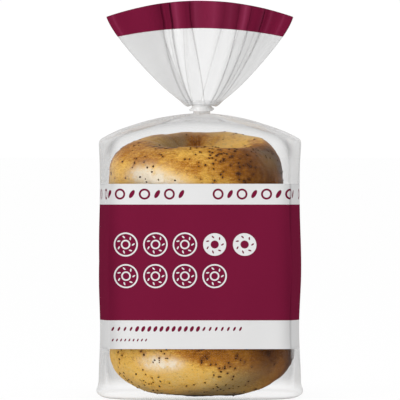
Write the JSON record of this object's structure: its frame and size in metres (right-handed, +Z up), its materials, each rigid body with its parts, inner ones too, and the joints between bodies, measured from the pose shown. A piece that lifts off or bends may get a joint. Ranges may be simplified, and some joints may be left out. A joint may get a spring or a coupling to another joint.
{
  "type": "bag of bagels",
  "caption": "Clear printed bag holding a stack of seeded bagels, pulled in to a tied neck and opening above it into a flat fan.",
  "frame": {"origin": "on the surface that the bag stands on, under the middle of the stack", "axes": "+Z up along the stack towards the mouth of the bag, +X along the bag's width to the right of a viewer in front, -Y out of the bag's front"},
  "size_m": [0.1198, 0.1118, 0.2294],
  "materials": {
    "film": "thin clear film with maroon and off-white print, soft gloss, fine creases",
    "tie": "clear band, wrapped once round the neck",
    "crust": "baked golden crust, smooth and a little shiny, browner in patches",
    "poppy_seed": "dry matt dark seed"
  },
  "bodies": {
    "root": {"bag": "film", "neck_tie": "tie"}
  },
  "joints": []
}
